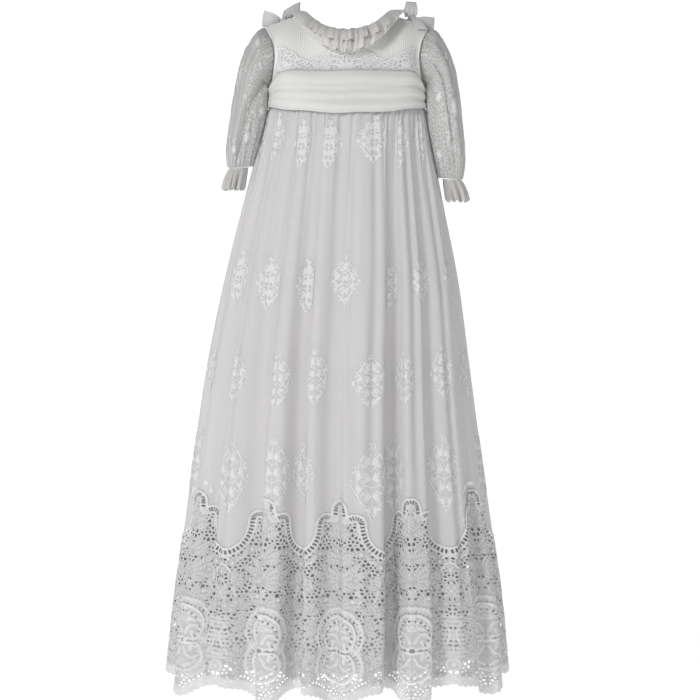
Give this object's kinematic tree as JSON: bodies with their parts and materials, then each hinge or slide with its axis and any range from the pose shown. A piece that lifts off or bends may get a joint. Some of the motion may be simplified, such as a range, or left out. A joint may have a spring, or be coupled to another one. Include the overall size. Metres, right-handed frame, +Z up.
{
  "type": "christening gown",
  "caption": "Long baby christening gown, filled out as if worn, with pintucked yoke, sash, lace sleeves and a deep cutwork hem.",
  "frame": {"origin": "midway between the shoulder seams, where the wearer's shoulders hold the gown", "axes": "+Z up along the gown, -Y to the front of the gown, +X to the right as seen from the front"},
  "size_m": [0.4194, 0.283, 0.8376],
  "materials": {
    "net": "matte",
    "satin": "satin",
    "lawn": "matte",
    "organza": "soft sheen",
    "lace": "matte",
    "pearl": "pearly"
  },
  "bodies": {
    "root": {"skirt_front": "net", "skirt_back": "net", "sleeve_left": "net", "sleeve_right": "net", "skirt_lining": "satin", "bow_left_knot": "satin", "bow_left_loop_outer": "satin", "bow_left_loop_inner": "satin", "bow_left_tail_outer": "satin", "bow_left_tail_inner": "satin", "bow_right_knot": "satin", "bow_right_loop_outer": "satin", "bow_right_loop_inner": "satin", "bow_right_tail_outer": "satin", "bow_right_tail_inner": "satin", "bodice_front": "lawn", "bodice_back_left": "lawn", "bodice_back_right": "lawn", "back_placket": "lawn", "sash": "organza", "yoke_lace": "lace", "neck_frill": "lace", "cuff_frill_left": "lace", "cuff_frill_right": "lace", "button_1": "pearl", "button_2": "pearl", "button_3": "pearl"}
  },
  "joints": []
}
